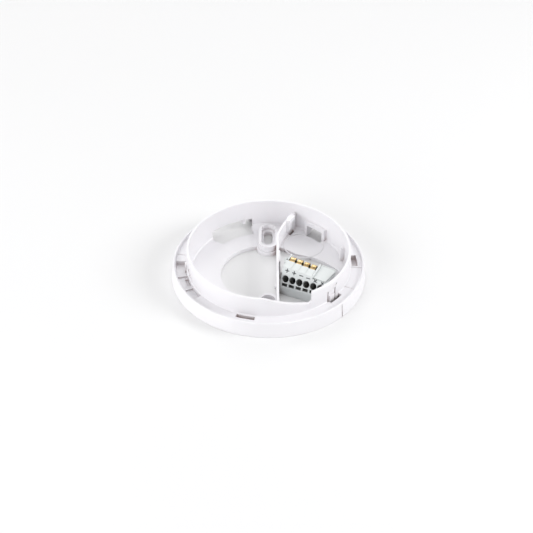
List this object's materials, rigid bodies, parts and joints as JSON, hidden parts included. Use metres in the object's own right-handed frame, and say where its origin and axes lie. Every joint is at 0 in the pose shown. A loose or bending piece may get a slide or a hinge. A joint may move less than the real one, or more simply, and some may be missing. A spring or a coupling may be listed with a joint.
{
  "type": "smoke detector mounting base",
  "caption": "Round moulded mounting base of a ceiling smoke detector, with a tall bayonet ring, cable openings and a sloping plug-in terminal block.",
  "frame": {"origin": "centre of the mounting side, on the plane that lies against the ceiling", "axes": "+Z out of the ceiling towards the detector head, +Y towards the slot seen at the back, +X to the right"},
  "size_m": [0.117, 0.117, 0.0204],
  "materials": {
    "white_plastic": "fine satin moulding",
    "grey_plastic": "satin moulding",
    "brass": "bright stamping",
    "gilded_contact": "gilded and polished",
    "spring_steel": "bright rolled strip"
  },
  "bodies": {
    "base": {"base_shell": "white_plastic", "terminal_end_left": "grey_plastic", "terminal_end_right": "grey_plastic", "terminal_cover": "grey_plastic", "pole_housing_1": "grey_plastic", "conductor_1": "brass", "pole_housing_2": "grey_plastic", "conductor_2": "brass", "pole_housing_3": "grey_plastic", "conductor_3": "brass", "pole_housing_4": "grey_plastic", "conductor_4": "brass", "pole_housing_5": "grey_plastic", "conductor_5": "brass", "pole_housing_6": "grey_plastic", "conductor_6": "brass"},
    "wire_clamp_1": {"wire_spring_1": "spring_steel"},
    "wire_clamp_2": {"wire_spring_2": "spring_steel"},
    "wire_clamp_3": {"wire_spring_3": "spring_steel"},
    "wire_clamp_4": {"wire_spring_4": "spring_steel"},
    "wire_clamp_5": {"wire_spring_5": "spring_steel"},
    "wire_clamp_6": {"wire_spring_6": "spring_steel"},
    "contact_1": {"contact_spring_1": "gilded_contact"},
    "contact_2": {"contact_spring_2": "gilded_contact"},
    "contact_3": {"contact_spring_3": "gilded_contact"},
    "contact_4": {"contact_spring_4": "gilded_contact"},
    "lock_tongue_body": {"lock_tongue": "white_plastic"},
    "terminal_latch_body": {"terminal_latch": "white_plastic"}
  },
  "joints": [
    {"name": "wire_clamp_1_flex", "type": "hinge", "parent": "base", "child": "wire_clamp_1", "pos_m": [0.01503, -0.00745, 0.0086], "axis": [0.9026, -0.4305, 0], "range_deg": [0, 14], "stiffness_Nm_per_rad": 0.02, "springref_deg": -17.19},
    {"name": "wire_clamp_2_flex", "type": "hinge", "parent": "base", "child": "wire_clamp_2", "pos_m": [0.01905, -0.00936, 0.0086], "axis": [0.9026, -0.4305, 0], "range_deg": [0, 14], "stiffness_Nm_per_rad": 0.02, "springref_deg": -17.19},
    {"name": "wire_clamp_3_flex", "type": "hinge", "parent": "base", "child": "wire_clamp_3", "pos_m": [0.02307, -0.01128, 0.0086], "axis": [0.9026, -0.4305, 0], "range_deg": [0, 14], "stiffness_Nm_per_rad": 0.02, "springref_deg": -17.19},
    {"name": "wire_clamp_4_flex", "type": "hinge", "parent": "base", "child": "wire_clamp_4", "pos_m": [0.02708, -0.0132, 0.0086], "axis": [0.9026, -0.4305, 0], "range_deg": [0, 14], "stiffness_Nm_per_rad": 0.02, "springref_deg": -17.19},
    {"name": "wire_clamp_5_flex", "type": "hinge", "parent": "base", "child": "wire_clamp_5", "pos_m": [0.0311, -0.01511, 0.0086], "axis": [0.9026, -0.4305, 0], "range_deg": [0, 14], "stiffness_Nm_per_rad": 0.02, "springref_deg": -17.19},
    {"name": "wire_clamp_6_flex", "type": "hinge", "parent": "base", "child": "wire_clamp_6", "pos_m": [0.03512, -0.01703, 0.0086], "axis": [0.9026, -0.4305, 0], "range_deg": [0, 14], "stiffness_Nm_per_rad": 0.02, "springref_deg": -17.19},
    {"name": "contact_1_press", "type": "slide", "parent": "base", "child": "contact_1", "axis": [0, 0, -1], "range_m": [0, 0.0008], "stiffness_N_per_m": 800},
    {"name": "contact_2_press", "type": "slide", "parent": "base", "child": "contact_2", "axis": [0, 0, -1], "range_m": [0, 0.0008], "stiffness_N_per_m": 800},
    {"name": "contact_3_press", "type": "slide", "parent": "base", "child": "contact_3", "axis": [0, 0, -1], "range_m": [0, 0.0008], "stiffness_N_per_m": 800},
    {"name": "contact_4_press", "type": "slide", "parent": "base", "child": "contact_4", "axis": [0, 0, -1], "range_m": [0, 0.0008], "stiffness_N_per_m": 800},
    {"name": "lock_tongue_flex", "type": "hinge", "parent": "base", "child": "lock_tongue_body", "pos_m": [0.03576, -0.03232, 0.01448], "axis": [0.6704, 0.742, 0], "range_deg": [0, 6], "stiffness_Nm_per_rad": 0.05},
    {"name": "terminal_latch_flex", "type": "hinge", "parent": "base", "child": "terminal_latch_body", "pos_m": [0.0075, -0.012, 0.00195], "axis": [0, 1, 0], "range_deg": [-2, 0], "stiffness_Nm_per_rad": 0.05}
  ]
}
